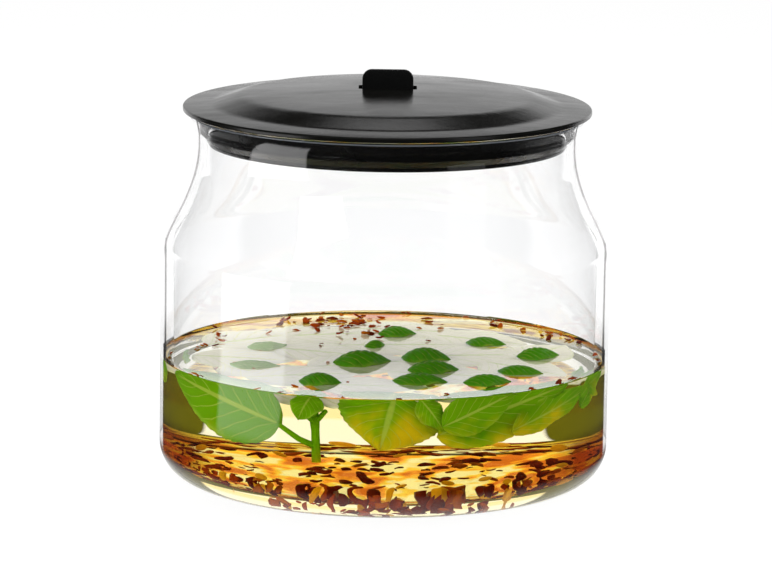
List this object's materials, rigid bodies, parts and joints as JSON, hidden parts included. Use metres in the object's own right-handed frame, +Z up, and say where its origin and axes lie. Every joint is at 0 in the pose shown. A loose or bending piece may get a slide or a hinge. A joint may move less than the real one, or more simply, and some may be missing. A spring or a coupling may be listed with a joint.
{
  "type": "preserving jar",
  "caption": "Round glass preserving jar with a drawn-in neck and a press-in sealed lid with a fold-down pull tab, part filled with herb oil.",
  "frame": {"origin": "middle of the underside, on the surface that the jar stands on", "axes": "+Z up along the jar's axis; -Y is the side that the picture shows; the pull tab's hinge runs along X"},
  "size_m": [0.1604, 0.1604, 0.1465],
  "materials": {
    "clear_glass": "clear, fire polished",
    "lid_black": "matte black with a faint sheen",
    "seal_silicone": "satin black",
    "tab_silicone": "matte black",
    "golden_oil": "clear golden liquid",
    "chilli_flakes": "dry flakes soaked in oil",
    "basil_green": "leaf with a soft gloss"
  },
  "bodies": {
    "jar": {"glass_jar": "clear_glass", "infused_oil": "golden_oil", "chilli_bed": "chilli_flakes", "basil_sprig": "basil_green", "basil_leaf_middle": "basil_green", "basil_leaf_right": "basil_green", "basil_leaf_far_right": "basil_green", "basil_leaf_far_left": "basil_green", "floating_leaf_1": "basil_green", "floating_leaf_2": "basil_green", "floating_leaf_3": "basil_green", "floating_leaf_4": "basil_green", "floating_leaf_5": "basil_green", "floating_leaf_6": "basil_green", "floating_leaf_7": "basil_green", "floating_leaf_8": "basil_green", "floating_leaf_9": "basil_green", "floating_leaf_10": "basil_green", "floating_leaf_11": "basil_green", "floating_leaf_12": "basil_green", "floating_leaf_13": "basil_green"},
    "lid": {"lid_cover": "lid_black", "seal_ring": "seal_silicone"},
    "tab": {"pull_tab": "tab_silicone"}
  },
  "joints": [
    {"name": "lid_lift", "type": "slide", "parent": "jar", "child": "lid", "axis": [0, 0, 1], "range_m": [0, 0.12]},
    {"name": "tab_fold", "type": "hinge", "parent": "lid", "child": "tab", "pos_m": [0, 0, 0.1384], "axis": [-1, 0, 0], "range_deg": [0, 90]}
  ]
}
